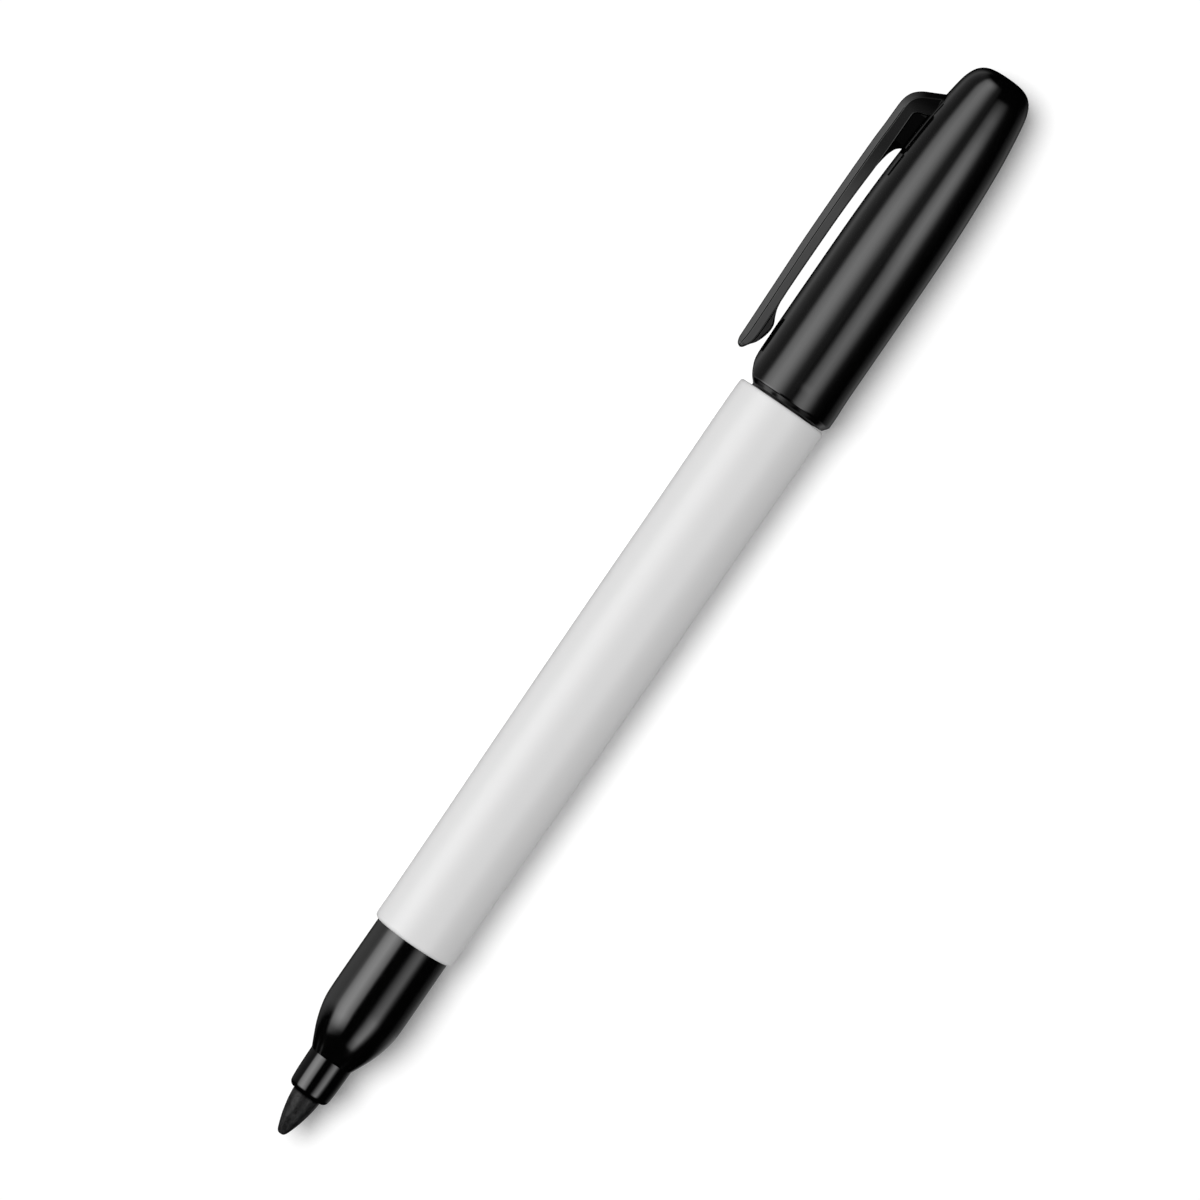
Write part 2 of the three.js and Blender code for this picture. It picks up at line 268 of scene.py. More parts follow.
# ---------------------------------------------------------------- cap
CAP_FRONT = [
    (104.85, 5.13), (104.85, 5.52), (105.0, 5.635), (105.2, 5.787), (105.4, 5.94), (105.55, 6.055), (105.72, 6.11),
    (107.15, 6.11), (108.45, 6.06), (110.25, 6.02), (111.0, 6.02),
]
CAP_BACK = [
    (111.0, 6.02), (120.0, 6.02), (126.5, 6.0), (131.2, 5.93), (134.0, 5.84), (136.9, 5.7), (139.7, 5.54),
    (142.5, 5.33), (144.0, 5.18), (145.4, 5.01), (146.8, 4.83), (148.2, 4.61), (149.0, 4.45),
    (149.65, 4.24), (150.15, 4.02), (150.6, 3.74), (151.0, 3.36), (151.32, 2.88), (151.54, 2.3),
    (151.65, 1.6), (151.69, 0.8), (151.7, 0.0),
]
CAP_IN = [
    (121.2, 5.08, 0.2), (121.9, 4.35, 0.1), (137.0, 4.35, 0.3), (142.0, 4.1), (148.0, 3.62, 0.3),
    (149.6, 3.1), (150.2, 2.2, 0.3), (150.2, 0.0),
]
SCOOP = [
    (104.25, 3.9), (104.85, 4.28), (105.2, 4.56), (105.6, 4.93), (106.1, 5.27), (106.55, 5.5), (107.0, 5.7),
    (107.5, 5.85), (108.2, 5.95), (109.2, 6.0), (111.0, 6.04), (112.0, 6.06),
]


def interp_line(line):
    xs = np.array([q[0] for q in line])
    ys = np.array([q[1] for q in line])
    return lambda s: np.interp(s, xs, ys)


scoop_at = interp_line(catmull(SCOOP, 0.05))
_front = [(s, min(r, 6.11)) for s, r in catmull(CAP_FRONT[1:], 0.04)]
front_at = interp_line(_front)


def cap_lip(phi):
    """The cap's outside from the edge of its bore to station 111, in the half plane at angle phi from the clip's side."""
    c = math.cos(phi)
    s = np.concatenate([np.linspace(104.85, 108.2, 336), np.linspace(108.22, 111.0, 90)])
    r = front_at(s)
    if c > 0.05:
        cut = scoop_at(s) / c
        k = 0.05
        r = -k * np.log(np.exp(-(r - 5) / k) + np.exp(-(np.minimum(cut, 9) - 5) / k)) + 5
    rim = 5.14
    if r[0] > rim:
        start = [(104.85, q) for q in np.linspace(rim, r[0], 12)[:-1]]
        line = [*start, *zip(s, r)]
    else:
        i = int(np.argmax(r > rim))
        s0 = s[i - 1] + (rim - r[i - 1]) / (r[i] - r[i - 1]) * (s[i] - s[i - 1])
        line = [(s0, rim), *zip(s[i:], r[i:])]
    line = np.array(line, float)
    d = np.concatenate([[0], np.cumsum(np.linalg.norm(np.diff(line, axis=0), axis=1))])
    # even spacing, then a light smoothing that rounds the edges
    u = np.arange(0, d[-1], 0.02)
    p = np.stack([np.interp(u, d, line[:, 0]), np.interp(u, d, line[:, 1])], 1)
    w = np.exp(-0.5 * (np.arange(-9, 10) * 0.02 / 0.055) ** 2)
    w /= w.sum()
    pad = np.concatenate([np.repeat(p[:1], 9, 0), p, np.repeat(p[-1:], 9, 0)])
    q = np.stack([np.convolve(pad[:, 0], w, "valid"), np.convolve(pad[:, 1], w, "valid")], 1)
    q[0], q[-1] = p[0], p[-1]
    du = np.concatenate([[0], np.cumsum(np.linalg.norm(np.diff(q, axis=0), axis=1))])
    total = du[-1]
    near = np.concatenate([np.arange(0, 2.4, 0.06), np.linspace(2.4, 6.6, 22)]) / 6.6
    at = near * total
    return np.stack([np.interp(at, du, q[:, 0]), np.interp(at, du, q[:, 1])], 1)


def build_cap():
    n = 288
    back = profile(CAP_BACK, 0.5)[1:]
    inner = profile([(111.0, 5.08), *CAP_IN], 0.7)
    verts, columns = [], []
    crown = None
    for k in range(n):
        phi = 2 * math.pi * k / n
        lip = cap_lip(phi)
        s0 = lip[0][0]
        column = []
        # inside, from the floor of the bore out to the mouth
        inside = [q for q in reversed(inner) if q[1] > 1e-6]
        mouth = [(s, 5.08) for s in np.linspace(111.0, s0 + 0.12, 14)[1:]]
        line = [*inside, *mouth, (s0 + 0.04, 5.095), *[tuple(q) for q in lip], *[q for q in back if q[1] > 1e-6]]
        for s, r in line:
            column.append(len(verts))
            verts.append(row(s, r * FACET * math.cos(phi), r * FACET * math.sin(phi)))
        columns.append(column)
    floor_i = len(verts)
    verts.append(row(150.2, 0, 0))
    crown_i = len(verts)
    verts.append(row(151.7, 0, 0))
    faces = []
    for k in range(n):
        a, b = columns[k], columns[(k + 1) % n]
        faces.append((floor_i, a[0], b[0]))
        for i in range(len(a) - 1):
            faces.append((a[i], a[i + 1], b[i + 1], b[i]))
        faces.append((crown_i, b[-1], a[-1]))
    return mesh_object("cap_body", verts, faces)


cap = build_cap()

# low pad on the cap under the clip's root
cap_r = interp_line([*CAP_FRONT[7:-1], *CAP_BACK[:-1]])


def build_foot():
    x0, x1, hw, h = 137.9, 145.25, 2.06, 0.13
    ns, nz = 48, 40
    verts, top, at = [], [], []

    def bump(u, edge=0.16):
        return 1 - (1 - min(1.0, max(0.0, u / edge))) ** 2

    for i in range(ns + 1):
        t = i / ns
        s = x0 + (x1 - x0) * (0.5 - 0.5 * math.cos(math.pi * t))
        line = []
        for j in range(nz + 1):
            z = -hw * math.cos(math.pi * j / nz)
            e = min(hw - abs(z), s - x0, x1 - s)
            r = cap_r(s) * FACET + h * bump(e) - 0.12 * (1 if e < 1e-6 else 0)
            y = math.sqrt(r * r - z * z)
            line.append(len(verts))
            verts.append(row(s, y, z))
            at.append((s, z))
        top.append(line)
    faces = []
    for i in range(ns):
        for j in range(nz):
            faces.append((top[i][j], top[i + 1][j], top[i + 1][j + 1], top[i][j + 1]))
    # closed underneath, inside the cap's wall
    under = []
    for i in range(ns + 1):
        line = []
        for j in range(nz + 1):
            if i in (0, ns) or j in (0, nz):
                line.append(top[i][j])
            else:
                s, z = at[top[i][j]]
                line.append(len(verts))
                r = cap_r(s) * FACET - 0.3
                verts.append(row(s, math.sqrt(r * r - z * z), z))
        under.append(line)
    for i in range(ns):
        for j in range(nz):
            faces.append((under[i][j], under[i][j + 1], under[i + 1][j + 1], under[i + 1][j]))
    return mesh_object("clip_foot", verts, faces)


foot = build_foot()

# ---------------------------------------------------------------- clip
CLIP_TOP = [
    (107.62, 8.14), (107.72, 8.44), (108.0, 8.68), (108.5, 8.83), (109.2, 8.86), (111.3, 8.9), (114.1, 8.96),
    (117.0, 9.02), (119.8, 9.08), (122.7, 9.13), (131.0, 9.13), (134.0, 9.11), (137.2, 9.06), (139.2, 8.98),
    (140.7, 8.95),
]
CLIP_UNDER = [
    (107.62, 8.14), (107.74, 7.88), (108.0, 7.68), (108.6, 7.33), (109.4, 7.14), (114.1, 7.12), (117.0, 7.19),
    (126.9, 7.19), (131.2, 7.08), (134.0, 6.96), (136.35, 6.92), (140.7, 6.9),
]
KEEL_PAD = [
    (108.25, 7.53), (108.6, 7.28), (109.1, 6.88), (109.8, 6.55), (110.7, 6.29), (111.3, 6.21), (111.9, 6.24),
    (112.4, 6.42), (112.9, 6.67), (113.8, 6.99), (114.7, 7.13),
]
KEEL_WEB = [
    (133.2, 7.02), (134.4, 6.94), (135.4, 6.81), (136.3, 6.63), (136.9, 6.43), (137.35, 6.2), (137.72, 5.8),
    (137.9, 5.4), (138.12, 4.75),
]
# rings round the corner and down to the cap: outer point, inner point, foot of the web
CORNER = [
    ((141.3, 8.94), (141.2, 6.9), (141.1, 4.7)),
    ((141.9, 8.925), (141.55, 6.9), (141.4, 4.7)),
    ((142.35, 8.89), (141.78, 6.88), (141.6, 4.7)),
    ((142.72, 8.835), (141.92, 6.84), (141.75, 4.7)),
    ((143.04, 8.755), (142.02, 6.78), (141.87, 4.7)),
    ((143.32, 8.66), (142.10, 6.71), (141.97, 4.7)),
    ((143.57, 8.545), (142.17, 6.62), (142.07, 4.7)),
    ((143.8, 8.41), (142.23, 6.52), (142.17, 4.7)),
    ((144.01, 8.26), (142.28, 6.4), (142.25, 4.7)),
    ((144.2, 8.09), (142.32, 6.28), (142.29, 4.7)),
    ((144.42, 7.86), (142.37, 6.12), (142.34, 4.7)),
    ((144.62, 7.6), (142.43, 5.95), (142.41, 4.7)),
    ((144.8, 7.33), (142.5, 5.77), (142.48, 4.7)),
    ((144.97, 7.03), (142.57, 5.58), (142.56, 4.7)),
    ((145.25, 6.46), (142.67, 5.34), (142.66, 4.7)),
    ((145.6, 5.77), (142.79, 5.05), (142.78, 4.7)),
    ((145.9, 5.18), (142.88, 4.82), (142.87, 4.7)),
    ((146.2, 4.6), (142.94, 4.62), (142.94, 4.61)),
]


def held(points):
    """Adds a point close to both ends of every segment, so that flats keep their own shading up to the roundings."""
    out = [points[0]]
    for (p, z), (q, w) in zip(points[:-1], points[1:]):
        p, q = np.array(p, float), np.array(q, float)
        length = math.sqrt(float((q - p) @ (q - p)) + (w - z) ** 2)
        u = min(0.035, 0.25 * length) / length if length > 1e-9 else 0.25
        for v in (u, 1 - u):
            out.append((p + (q - p) * v, z + (w - z) * v))
        out.append((q, w))
    return out


def build_clip():
    top = interp_line(catmull(CLIP_TOP, 0.05))
    under = interp_line(catmull(CLIP_UNDER, 0.05))
    pad = interp_line(catmull(KEEL_PAD, 0.05))
    web = interp_line(catmull(KEEL_WEB, 0.03))
    stations = sorted({
        *np.round([107.63, 107.66, 107.71, 107.78, 107.87, 107.98, 108.12, 108.28, 108.45, 108.65, 108.85], 3),
        *np.round(np.arange(109.0, 115.0, 0.2), 3),
        *np.round(np.arange(115.0, 133.0, 0.75), 3),
        *np.round(np.arange(133.0, 137.3, 0.25), 3),
        *np.round([137.35, 137.5, 137.6, 137.7, 137.77, 137.83, 137.88, 137.92, 137.96, 138.0, 138.05, 138.12], 3),
        *np.round(np.arange(138.4, 140.9, 0.35), 3),
    })
    rings = []
    for s in stations:
        o = np.array((s, float(top(s))))
        i = np.array((s, float(under(s))))
        y = i[1]
        if 108.3 < s < 114.65:
            y = min(y, float(pad(s)))
        if 133.2 < s < 138.12:
            y = min(y, float(web(s)))
        if s >= 138.12:
            y = 4.7
        rings.append((o, i, np.array((s, y))))
    rings += [tuple(np.array(p) for p in r) for r in CORNER]
    verts, loops = [], []
    hw_full, kw_full = 1.94, 1.0
    for n, (o, i, k) in enumerate(rings):
        s = o[0]
        thick = np.linalg.norm(i - o)
        e = (i - o) / thick
        nose = min(1.0, max(0.0, (s - 107.55) / 1.1))
        hw = hw_full - 0.55 * (1 - math.sqrt(max(0.0, 1 - (1 - nose) ** 2)))
        bd = min(0.78, 0.42 * thick)
        # the flanks lean outwards by 9 degrees along the strap and less towards the root
        lean = 0.158 if s < 128 else 0.158 - 0.1 * min(1.0, (s - 128) / 9)
        zb = hw - lean * (thick - bd)
        zo = zb - 0.6 * bd
        # half of the section: depth from the outer face, distance from the middle
        g = 0.08 if 108.2 < s < 142 else 0.02
        half = [
            (0.0, 0.0),
            (0.004, zo * 0.4),
            (min(0.06, 0.2 * thick), zo),
            (bd - 0.055, zb - 0.035),
            (bd + 0.0, zb - g - 0.01),
            (bd + 0.065, zb + 0.0),
            (thick, hw),
        ]
        half = rounded([*half, (thick, kw_full)], {2: 0.07, 3: 0.05, 6: 0.12}, arc=3)
        half = half[:-1]
        pts = [(o + e * d, z) for d, z in half]
        # keel: pad at the tip or web at the root
        deep = np.linalg.norm(k - i)
        kw = min(kw_full + (0.08 if s < 120 else 0.0), hw - 0.2)
        rk = min(0.3 if s < 120 else 0.12, 0.45 * deep)
        kdir = (k - i) / deep if deep > 1e-6 else e
        fil = min(0.12, 0.3 * deep)
        keel = [
            (i, kw + fil),
            (i + kdir * fil, kw),
            (i + kdir * (0.5 * deep), kw),
            (i + kdir * (deep - rk), kw),
            (i + kdir * (deep - 0.3 * rk), kw - 0.3 * rk),
            (k, kw - rk),
            (k, 0.0),
        ]
        pts += keel
        if n == 0:
            web_from, web_to = 3 * (len(pts) - len(keel)), 3 * (len(pts) - 1)
        pts = held(pts)
        if s < 120:
            deep_at = [float((p - o) @ e) for p, z in pts]
            shaded_groove = {q for q in range(len(pts) // 2) if bd - 0.045 < 0.5 * (deep_at[q] + deep_at[q + 1]) < bd + 0.055}
        full = pts + [(p, -z) for p, z in reversed(pts[1:-1])]
        loop = []
        for p, z in full:
            loop.append(len(verts))
            verts.append(row(p[0], p[1], z))
        loops.append(loop)
    faces, slots = [], []
    m = len(loops[0])
    last = len(rings) - len(CORNER)
    for n, (a, b) in enumerate(zip(loops[:-1], loops[1:])):
        for q in range(m):
            w = (q + 1) % m
            faces.append((a[q], a[w], b[w], b[q]))
            here = web_from <= min(q, m - 1 - q) < web_to
            tip = rings[n][0][0] < 116
            # painted shade: faces of the groove and of the root's web take the near-unreflecting black of slot 1; slot
            # 2 is the pad's rougher black
            if min(q, m - 1 - q) in shaded_groove and n < last:
                slots.append(1)
                continue
            slots.append((2 if tip else 1) if here and (tip or rings[n][0][0] > 133) and n <= last + 8 else 0)
    # ends: a centre point and a fan
    for loop, flip in ((loops[0], True), (loops[-1], False)):
        c = sum((verts[v] for v in loop), Vector()) / m
        if flip:
            c = row(107.62, 8.14, 0)
        ci = len(verts)
        verts.append(c)
        for q in range(m):
            w = (q + 1) % m
            faces.append((ci, loop[w], loop[q]) if flip else (ci, loop[q], loop[w]))
            slots.append(0)
    return mesh_object("clip_strap", verts, faces, slots=slots)


clip = build_clip()

# seal cup inside the cap
LINER = [
    (135.2, 0.0), (135.2, 2.92, 0.4), (122.5, 2.92, 0.1), (122.0, 3.27, 0.1), (122.0, 4.0, 0.1), (122.4, 4.3, 0.1),
    (135.8, 4.3, 0.1), (136.2, 3.9, 0.1), (136.2, 0.0),
]
seal = lathe("seal_cup", profile(LINER, 0.8), 96, False)


# ---------------------------------------------------------------- materials
def material(name):
    m = bpy.data.materials.new(name)
    m.use_nodes = True
    nt = m.node_tree
    return m, nt, nt.nodes["Principled BSDF"]


def node(nt, kind, **inputs):
    n = nt.nodes.new(kind)
    for k, v in inputs.items():
        n.inputs[k.replace("_", " ")].default_value = v
    return n


def coords(nt, scale):
    tc = nt.nodes.new("ShaderNodeTexCoord")
    mp = nt.nodes.new("ShaderNodeMapping")
    mp.inputs["Scale"].default_value = scale
    nt.links.new(tc.outputs["Object"], mp.inputs["Vector"])
    return mp.outputs["Vector"]


def ramp(nt, fac, stops):
    r = nt.nodes.new("ShaderNodeValToRGB")
    el = r.color_ramp.elements
    while len(el) < len(stops):
        el.new(0.5)
    for e, (p, c) in zip(el, stops):
        e.position = p
        e.color = (*c, 1) if isinstance(c, tuple) else (c, c, c, 1)
    nt.links.new(fac, r.inputs["Fac"])
    return r


def noise_node(nt, vec, scale, detail=4.0, rough=0.5):
    n = nt.nodes.new("ShaderNodeTexNoise")
    n.inputs["Scale"].default_value = scale
    n.inputs["Detail"].default_value = detail
    n.inputs["Roughness"].default_value = rough
    nt.links.new(vec, n.inputs["Vector"])
    return n.outputs["Fac"]


def bump(nt, b, height, strength, distance, chain=None):
    n = nt.nodes.new("ShaderNodeBump")
    n.inputs["Strength"].default_value = strength
    n.inputs["Distance"].default_value = distance
    nt.links.new(height, n.inputs["Height"])
    if chain is not None:
        nt.links.new(chain, n.inputs["Normal"])
    nt.links.new(n.outputs["Normal"], b.inputs["Normal"])
    return n.outputs["Normal"]


def black_plastic(name, lo, hi, dark=0.0009, specular=0.5):
    """Glossy moulded plastic: a faint orange peel, polish that varies in long streaks, and a few hairline scuffs."""
    m, nt, b = material(name)
    vec = coords(nt, (1, 1, 1))
    streak = coords(nt, (0.12, 1, 1))
    tone = noise_node(nt, vec, 900, 3)
    base = ramp(nt, tone, [(0.3, (dark * 0.8, dark * 0.8, dark * 0.84)), (0.7, (dark * 1.3, dark * 1.3, dark * 1.33))])
    nt.links.new(base.outputs["Color"], b.inputs["Base Color"])
    polish = noise_node(nt, streak, 420, 5, 0.6)
    gloss = ramp(nt, polish, [(0.3, lo), (0.72, hi)])
    nt.links.new(gloss.outputs["Color"], b.inputs["Roughness"])
    b.inputs["IOR"].default_value = 1.46
    b.inputs["Specular IOR Level"].default_value = specular
    peel = noise_node(nt, vec, 700, 2, 0.4)
    first = bump(nt, b, peel, 0.25, 0.000012)
    fine = noise_node(nt, streak, 5200, 3, 0.6)
    bump(nt, b, fine, 0.12, 0.000004, first)
    return m


def clip_root_shade(m):
    """Painted shade: the clip's specular level falls from 0.5 to 0.1 between stations 141.9 and 144.2, darkening its
    flanks towards the root.
    """
    nt = m.node_tree
    b = next(n for n in nt.nodes if n.type == "BSDF_PRINCIPLED")
    tc = nt.nodes.new("ShaderNodeTexCoord")
    sep = nt.nodes.new("ShaderNodeSeparateXYZ")
    nt.links.new(tc.outputs["Object"], sep.inputs[0])
    n = nt.nodes.new("ShaderNodeMapRange")
    n.interpolation_type = "SMOOTHSTEP"
    n.inputs["From Min"].default_value = X(141.9) / 1000
    n.inputs["From Max"].default_value = X(144.2) / 1000
    n.inputs["To Min"].default_value = 0.5
    n.inputs["To Max"].default_value = 0.1
    nt.links.new(sep.outputs["X"], n.inputs["Value"])
    nt.links.new(n.outputs["Result"], b.inputs["Specular IOR Level"])


def collar_flank_shade(m):
    """Painted shade: the specular level drops from 0.5 to 0.08 on the collar's two flanks, the sides facing across the
    studio's y axis, and to nothing at its rim.
    """
    nt = m.node_tree
    b = next(n for n in nt.nodes if n.type == "BSDF_PRINCIPLED")
    tc = nt.nodes.new("ShaderNodeTexCoord")
    sep = nt.nodes.new("ShaderNodeSeparateXYZ")
    nt.links.new(tc.outputs["Object"], sep.inputs[0])

    def step(v, a, c):
        n = nt.nodes.new("ShaderNodeMapRange")
        n.interpolation_type = "SMOOTHSTEP"
        n.inputs["From Min"].default_value = a
        n.inputs["From Max"].default_value = c
        nt.links.new(v, n.inputs["Value"])
        return n.outputs["Result"]

    off = nt.nodes.new("ShaderNodeMath")
    off.operation = "SUBTRACT"
    nt.links.new(sep.outputs["Y"], off.inputs[0])
    off.inputs[1].default_value = AXIS_Y / 1000
    size = nt.nodes.new("ShaderNodeMath")
    size.operation = "ABSOLUTE"
    nt.links.new(off.outputs[0], size.inputs[0])
    both = nt.nodes.new("ShaderNodeMath")
    both.operation = "MULTIPLY"
    nt.links.new(step(size.outputs[0], 0.00165, 0.00185), both.inputs[0])
    nt.links.new(step(sep.outputs["X"], X(10.8) / 1000, X(10.65) / 1000), both.inputs[1])
    level = nt.nodes.new("ShaderNodeMath")
    level.operation = "MULTIPLY_ADD"
    nt.links.new(both.outputs[0], level.inputs[0])
    level.inputs[1].default_value = -0.42
    level.inputs[2].default_value = 0.5
    rim = nt.nodes.new("ShaderNodeMath")
    rim.operation = "MULTIPLY"
    nt.links.new(level.outputs[0], rim.inputs[0])
    nt.links.new(step(sep.outputs["X"], X(6.04) / 1000, X(6.3) / 1000), rim.inputs[1])
    nt.links.new(rim.outputs[0], b.inputs["Specular IOR Level"])


def white_plastic():
    """Satin white tube: faint flow marks along its length and a fine even grain."""
    m, nt, b = material("barrel_white")
    vec = coords(nt, (1, 1, 1))
    flow = coords(nt, (0.06, 1, 1))
    tone = noise_node(nt, flow, 260, 4, 0.55)
    base = ramp(nt, tone, [(0.25, (0.766, 0.764, 0.764)), (0.75, (0.782, 0.78, 0.78))])
    nt.links.new(base.outputs["Color"], b.inputs["Base Color"])
    polish = noise_node(nt, flow, 600, 4, 0.6)
    gloss = ramp(nt, polish, [(0.3, 0.3), (0.7, 0.35)])
    nt.links.new(gloss.outputs["Color"], b.inputs["Roughness"])
    b.inputs["IOR"].default_value = 1.48
    b.inputs["Specular IOR Level"].default_value = 0.32
    grain = noise_node(nt, vec, 2600, 3, 0.5)
    bump(nt, b, grain, 0.1, 0.000008)
    return m


def fibre(name, dark, light, scale, along, lo=0.62, hi=0.9, shine=0.06, collar_shade=None):
    """Pressed fibre soaked with ink: short strands along the rod, mottled where the ink has dried.

    Between the two stations given last, the fibre goes black and loses its shine: painted contact shade where the nib
    enters the collar.
    """
    m, nt, b = material(name)
    strands = coords(nt, (along, 1, 1))
    vec = coords(nt, (1, 1, 1))
    a = noise_node(nt, strands, scale, 6, 0.7)
    c = noise_node(nt, vec, scale * 0.35, 5, 0.65)
    mix = nt.nodes.new("ShaderNodeMath")
    mix.operation = "MULTIPLY_ADD"
    nt.links.new(a, mix.inputs[0])
    mix.inputs[1].default_value = 0.55
    half = nt.nodes.new("ShaderNodeMath")
    half.operation = "MULTIPLY"
    nt.links.new(c, half.inputs[0])
    half.inputs[1].default_value = 0.45
    nt.links.new(half.outputs[0], mix.inputs[2])
    tone = mix.outputs[0]
    b.inputs["Specular IOR Level"].default_value = shine
    if collar_shade:
        tc = nt.nodes.new("ShaderNodeTexCoord")
        sep = nt.nodes.new("ShaderNodeSeparateXYZ")
        nt.links.new(tc.outputs["Object"], sep.inputs[0])
        # painted contact shade: this mask darkens the fibre's tone and takes away its shine towards the collar
        collar_shade_mask = nt.nodes.new("ShaderNodeMapRange")
        collar_shade_mask.interpolation_type = "SMOOTHSTEP"
        collar_shade_mask.inputs["From Min"].default_value = X(collar_shade[0]) / 1000
        collar_shade_mask.inputs["From Max"].default_value = X(collar_shade[1]) / 1000
        nt.links.new(sep.outputs["X"], collar_shade_mask.inputs["Value"])
        less = nt.nodes.new("ShaderNodeMath")
        less.operation = "MULTIPLY_ADD"
        nt.links.new(collar_shade_mask.outputs["Result"], less.inputs[0])
        less.inputs[1].default_value = -0.3
        nt.links.new(tone, less.inputs[2])
        tone = less.outputs[0]
        polish = nt.nodes.new("ShaderNodeMath")
        polish.operation = "MULTIPLY_ADD"
        nt.links.new(collar_shade_mask.outputs["Result"], polish.inputs[0])
        polish.inputs[1].default_value = -shine
        polish.inputs[2].default_value = shine
        nt.links.new(polish.outputs[0], b.inputs["Specular IOR Level"])
    base = ramp(nt, tone, [(0.42, dark), (0.5, tuple(0.7 * p + 0.3 * q for p, q in zip(dark, light))), (0.6, light)])
    nt.links.new(base.outputs["Color"], b.inputs["Base Color"])
    gloss = ramp(nt, a, [(0.3, lo), (0.7, hi)])
    nt.links.new(gloss.outputs["Color"], b.inputs["Roughness"])
    b.inputs["IOR"].default_value = 1.4
    first = bump(nt, b, a, 0.9, 0.00009)
    bump(nt, b, c, 0.6, 0.0001, first)
    return m


def milky(name, tone, lo, hi, streaks):
    m, nt, b = material(name)
    vec = coords(nt, (streaks, 1, 1))
    a = noise_node(nt, vec, 500, 4)
    base = ramp(nt, a, [(0.3, tuple(c * 0.94 for c in tone)), (0.7, tone)])
    nt.links.new(base.outputs["Color"], b.inputs["Base Color"])
    gloss = ramp(nt, a, [(0.3, lo), (0.7, hi)])
    nt.links.new(gloss.outputs["Color"], b.inputs["Roughness"])
    bump(nt, b, a, 0.1, 0.00001)
    return m


cap_black = black_plastic("cap_black", 0.09, 0.14)
grip_black = black_plastic("grip_black", 0.08, 0.12)
clip_black = black_plastic("clip_black", 0.09, 0.14)
# painted shade: a low specular level (0.13) darkens the foot under the clip's root, standing in for the shade there
foot_shade_black = black_plastic("foot_shade_black", 0.14, 0.2, 0.0009, 0.13)
# painted shade: a darker black with almost no reflection (specular level 0.03) for the shade in the root's web and in
# the groove along the strap
web_and_groove_shade = black_plastic("web_and_groove_shade", 0.3, 0.4, 0.0005, 0.03)
pad_black = black_plastic("pad_black", 0.3, 0.4, 0.0007, 0.38)
plug_black = black_plastic("plug_black", 0.18, 0.28, 0.006)
# the last pair of stations paints contact shade on the nib where it enters the collar
nib_felt = fibre("nib_felt", (0.001, 0.001, 0.0011), (0.017, 0.017, 0.0173), 2600, 0.3, 0.24, 0.46, 0.26,
                 (5.3, 5.66))
core_felt = fibre("core_felt", (0.01, 0.01, 0.014), (0.06, 0.06, 0.07), 2400, 0.08)
film = milky("sleeve_film", (0.72, 0.75, 0.77), 0.12, 0.22, 0.1)
liner = milky("liner_plastic", (0.74, 0.74, 0.72), 0.35, 0.5, 1.0)
white = white_plastic()
collar_flank_shade(grip_black)
clip_root_shade(clip_black)

for o, m in (
    (barrel, white), (grip, grip_black), (nib, nib_felt), (stud, plug_black),
    (cap, cap_black), (foot, foot_shade_black), (clip, clip_black), (seal, liner),
):
    o.data.materials.append(m)
clip.data.materials.append(web_and_groove_shade)
clip.data.materials.append(pad_black)
for name, m in (("reservoir_core", core_felt), ("reservoir_sleeve", film)):
    for k, s in enumerate(frame["nodes"][name].material_slots):
        s.material = m

# ---------------------------------------------------------------- bodies
for o, body, nodes, slot in (
    (barrel, "pen", ["barrel"], "white_plastic"),
    (grip, "pen", ["front_section"], "black_plastic"),
    (nib, "pen", ["nib"], "nib_fibre"),
    (stud, "pen", ["tail_plug"], "black_plastic"),
    (cap, "cap", ["cap_shell"], "black_plastic"),
    (foot, "cap", [], "black_plastic"),
    (seal, "cap", ["seal_liner"], "liner_plastic"),
):
    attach(o, body)
    if nodes:
        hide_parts(*nodes)
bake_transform(clip)
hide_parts("clip_arm")

# ---------------------------------------------------------------- studio
SMALL = 1e-5
bpy.ops.mesh.primitive_plane_add(size=6, location=(0, 0, -SMALL))
floor = bpy.context.object
floor.name = "floor"
fm, nt, b = material("floor_white")
tone = noise_node(nt, coords(nt, (1, 1, 1)), 12, 2)
base = ramp(nt, tone, [(0.3, 0.795), (0.7, 0.805)])
nt.links.new(base.outputs["Color"], b.inputs["Base Color"])
b.inputs["Roughness"].default_value = 1.0
b.inputs["Specular IOR Level"].default_value = 0.0
b.inputs["Emission Color"].default_value = (1, 1, 1, 1)
b.inputs["Emission Strength"].default_value = 0.27
floor.data.materials.append(fm)
floor.visible_glossy = False

# a tunnel of soft light that only glossy surfaces see: one softbox on either side
TENT_R = 0.35


def build_tent():
    n, m = 96, 60
    x0, x1 = -3.0, 1.5
    verts, faces = [], []
    cy, cz = AXIS_Y / 1000, AXIS_Z / 1000
    for i in range(m + 1):
        for k in range(n):
            a = 2 * math.pi * k / n
            verts.append(Vector((x0 + (x1 - x0) * i / m, cy + TENT_R * math.cos(a), cz + TENT_R * math.sin(a))))
    for i in range(m):
        for k in range(n):
            j = (k + 1) % n
            faces.append((i * n + k, i * n + j, (i + 1) * n + j, (i + 1) * n + k))
    return mesh_object("light_tent", verts, faces, weighted=False)


tent = build_tent()
for a in ("visible_camera", "visible_diffuse", "visible_transmission", "visible_volume_scatter", "visible_shadow"):
    setattr(tent, a, False)



